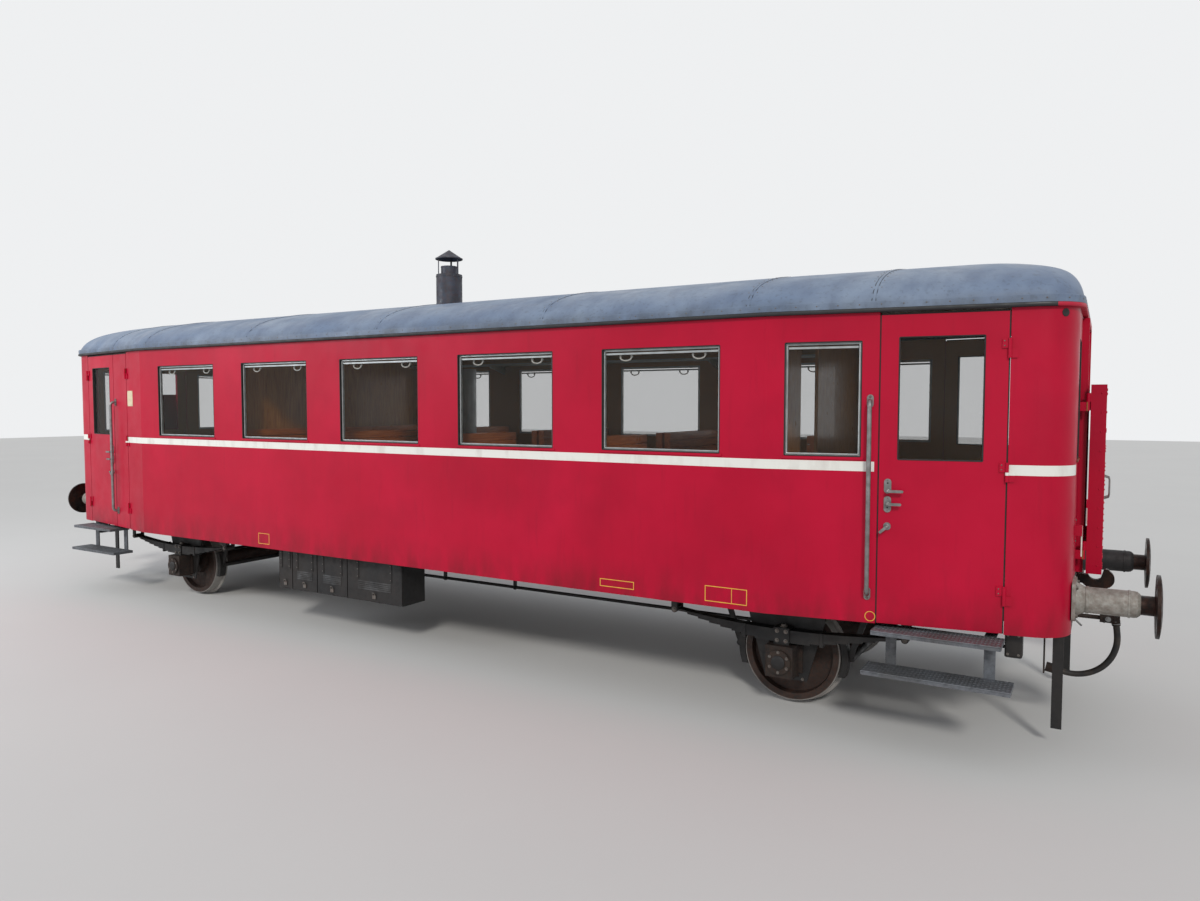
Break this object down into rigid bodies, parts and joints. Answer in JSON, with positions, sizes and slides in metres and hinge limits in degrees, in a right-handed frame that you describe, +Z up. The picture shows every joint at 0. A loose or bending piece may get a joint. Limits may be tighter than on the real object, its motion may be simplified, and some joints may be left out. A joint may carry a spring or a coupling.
{
  "type": "two-axle railway passenger coach",
  "caption": "Two-axle light railway passenger coach with tapered ends, hinged side and luggage doors, gangway doors with folding guards, slatted benches, a stove and free-running wheelsets",
  "frame": {"origin": "On the middle of the coach, on the plane that the wheel flanges touch, 28 mm below the rail head", "axes": "+X along the coach towards the single-door end, +Y across it, +Z up"},
  "size_m": [12.3, 2.994, 4.0178],
  "materials": {
    "red_paint": "crimson coach paint, sun-faded gloss",
    "underframe_black": "matt black paint with brake dust",
    "floor_boards": "worn boards",
    "gutter_dark": "dark gutter paint",
    "roof_grey": "weathered grey roof paint",
    "frame_aluminium": "brushed",
    "window_glass": "clear",
    "chimney_steel": "dark heat-worn paint",
    "stove_steel": "sheet jacket",
    "varnished_board": "varnished",
    "slat_wood": "varnished slats",
    "weathered_steel": "weathered and dull",
    "buffer_dark": "greased",
    "cast_box": "rough cast, painted black",
    "step_steel": "galvanised tread plate",
    "rail_grey": "hand-worn",
    "hose_rubber": "matt",
    "wheel_steel": "rusty web, bright tread"
  },
  "bodies": {
    "coach": {"floor": "floor_boards", "side_wall_near": "red_paint", "side_wall_far": "red_paint", "taper_panels": "red_paint", "end_corners": "red_paint", "end_walls": "red_paint", "cantrail": "gutter_dark", "roof": "roof_grey", "window_frames": "frame_aluminium", "window_glass_near": "window_glass", "window_glass_far": "window_glass", "end_glass": "window_glass", "chimney": "chimney_steel", "stove": "stove_steel", "partitions": "varnished_board", "benches_near": "slat_wood", "benches_far": "slat_wood", "luggage_racks": "frame_aluminium", "battery_boxes": "underframe_black", "sole_bars": "underframe_black", "cross_bearers": "underframe_black", "headstocks": "underframe_black", "buffer_sleeves": "weathered_steel", "buffer_heads": "buffer_dark", "draw_hooks": "buffer_dark", "axle_guards": "underframe_black", "axleboxes": "cast_box", "leaf_springs": "underframe_black", "spring_hangers": "underframe_black", "rail_guards": "underframe_black", "entry_steps": "step_steel", "grab_rails": "rail_grey", "brake_rigging": "underframe_black", "air_vessels": "underframe_black", "air_cocks": "cast_box", "hose_head_right": "cast_box", "hose_head_left": "cast_box", "brake_hose_right": "hose_rubber", "brake_hose_left": "hose_rubber"},
    "door_right_near": {"door_right_near": "red_paint", "door_glass_right_near": "window_glass"},
    "guard_right_near": {"guard_right_near": "red_paint"},
    "door_right_far": {"door_right_far": "red_paint", "door_glass_right_far": "window_glass"},
    "guard_right_far": {"guard_right_far": "red_paint"},
    "door_left_near": {"door_left_near": "red_paint", "door_glass_left_near": "window_glass"},
    "guard_left_near": {"guard_left_near": "red_paint"},
    "door_left_far": {"door_left_far": "red_paint", "door_glass_left_far": "window_glass"},
    "guard_left_far": {"guard_left_far": "red_paint"},
    "luggage_left_near": {"luggage_left_near": "red_paint"},
    "luggage_left_far": {"luggage_left_far": "red_paint"},
    "gangway_right": {"gangway_door_right": "red_paint", "gangway_glass_right": "window_glass"},
    "wheelset_right": {"wheelset_right": "wheel_steel"},
    "gangway_left": {"gangway_door_left": "red_paint", "gangway_glass_left": "window_glass"},
    "wheelset_left": {"wheelset_left": "wheel_steel"}
  },
  "joints": [
    {"name": "open_door_right_near", "type": "hinge", "parent": "coach", "child": "door_right_near", "pos_m": [5.28024, -1.2411, 1.5], "axis": [0, 0, 1], "range_deg": [0, 90]},
    {"name": "open_guard_right_near", "type": "hinge", "parent": "coach", "child": "guard_right_near", "pos_m": [5.704, -0.45, 1.5], "axis": [0, 0, -1], "range_deg": [0, 90]},
    {"name": "open_door_right_far", "type": "hinge", "parent": "coach", "child": "door_right_far", "pos_m": [5.28024, 1.2411, 1.5], "axis": [0, 0, -1], "range_deg": [0, 90]},
    {"name": "open_guard_right_far", "type": "hinge", "parent": "coach", "child": "guard_right_far", "pos_m": [5.704, 0.45, 1.5], "axis": [0, 0, 1], "range_deg": [0, 90]},
    {"name": "open_door_left_near", "type": "hinge", "parent": "coach", "child": "door_left_near", "pos_m": [-5.28024, -1.2411, 1.5], "axis": [0, 0, -1], "range_deg": [0, 90]},
    {"name": "open_guard_left_near", "type": "hinge", "parent": "coach", "child": "guard_left_near", "pos_m": [-5.704, -0.45, 1.5], "axis": [0, 0, 1], "range_deg": [0, 90]},
    {"name": "open_door_left_far", "type": "hinge", "parent": "coach", "child": "door_left_far", "pos_m": [-5.28024, 1.2411, 1.5], "axis": [0, 0, 1], "range_deg": [0, 90]},
    {"name": "open_guard_left_far", "type": "hinge", "parent": "coach", "child": "guard_left_far", "pos_m": [-5.704, 0.45, 1.5], "axis": [0, 0, -1], "range_deg": [0, 90]},
    {"name": "open_luggage_left_near", "type": "hinge", "parent": "coach", "child": "luggage_left_near", "pos_m": [-4.13224, -1.42721, 1.5], "axis": [0, 0, 1], "range_deg": [0, 90]},
    {"name": "open_luggage_left_far", "type": "hinge", "parent": "coach", "child": "luggage_left_far", "pos_m": [-4.13224, 1.42721, 1.5], "axis": [0, 0, -1], "range_deg": [0, 90]},
    {"name": "open_gangway_right", "type": "hinge", "parent": "coach", "child": "gangway_right", "pos_m": [5.597, -0.325, 1.5], "axis": [0, 0, 1], "range_deg": [0, 90]},
    {"name": "roll_right", "type": "hinge", "parent": "coach", "child": "wheelset_right", "pos_m": [3.75, 0, 0.408], "axis": [0, 1, 0], "continuous": true},
    {"name": "open_gangway_left", "type": "hinge", "parent": "coach", "child": "gangway_left", "pos_m": [-5.597, 0.325, 1.5], "axis": [0, 0, 1], "range_deg": [0, 90]},
    {"name": "roll_left", "type": "hinge", "parent": "coach", "child": "wheelset_left", "pos_m": [-3.75, 0, 0.408], "axis": [0, 1, 0], "continuous": true}
  ]
}
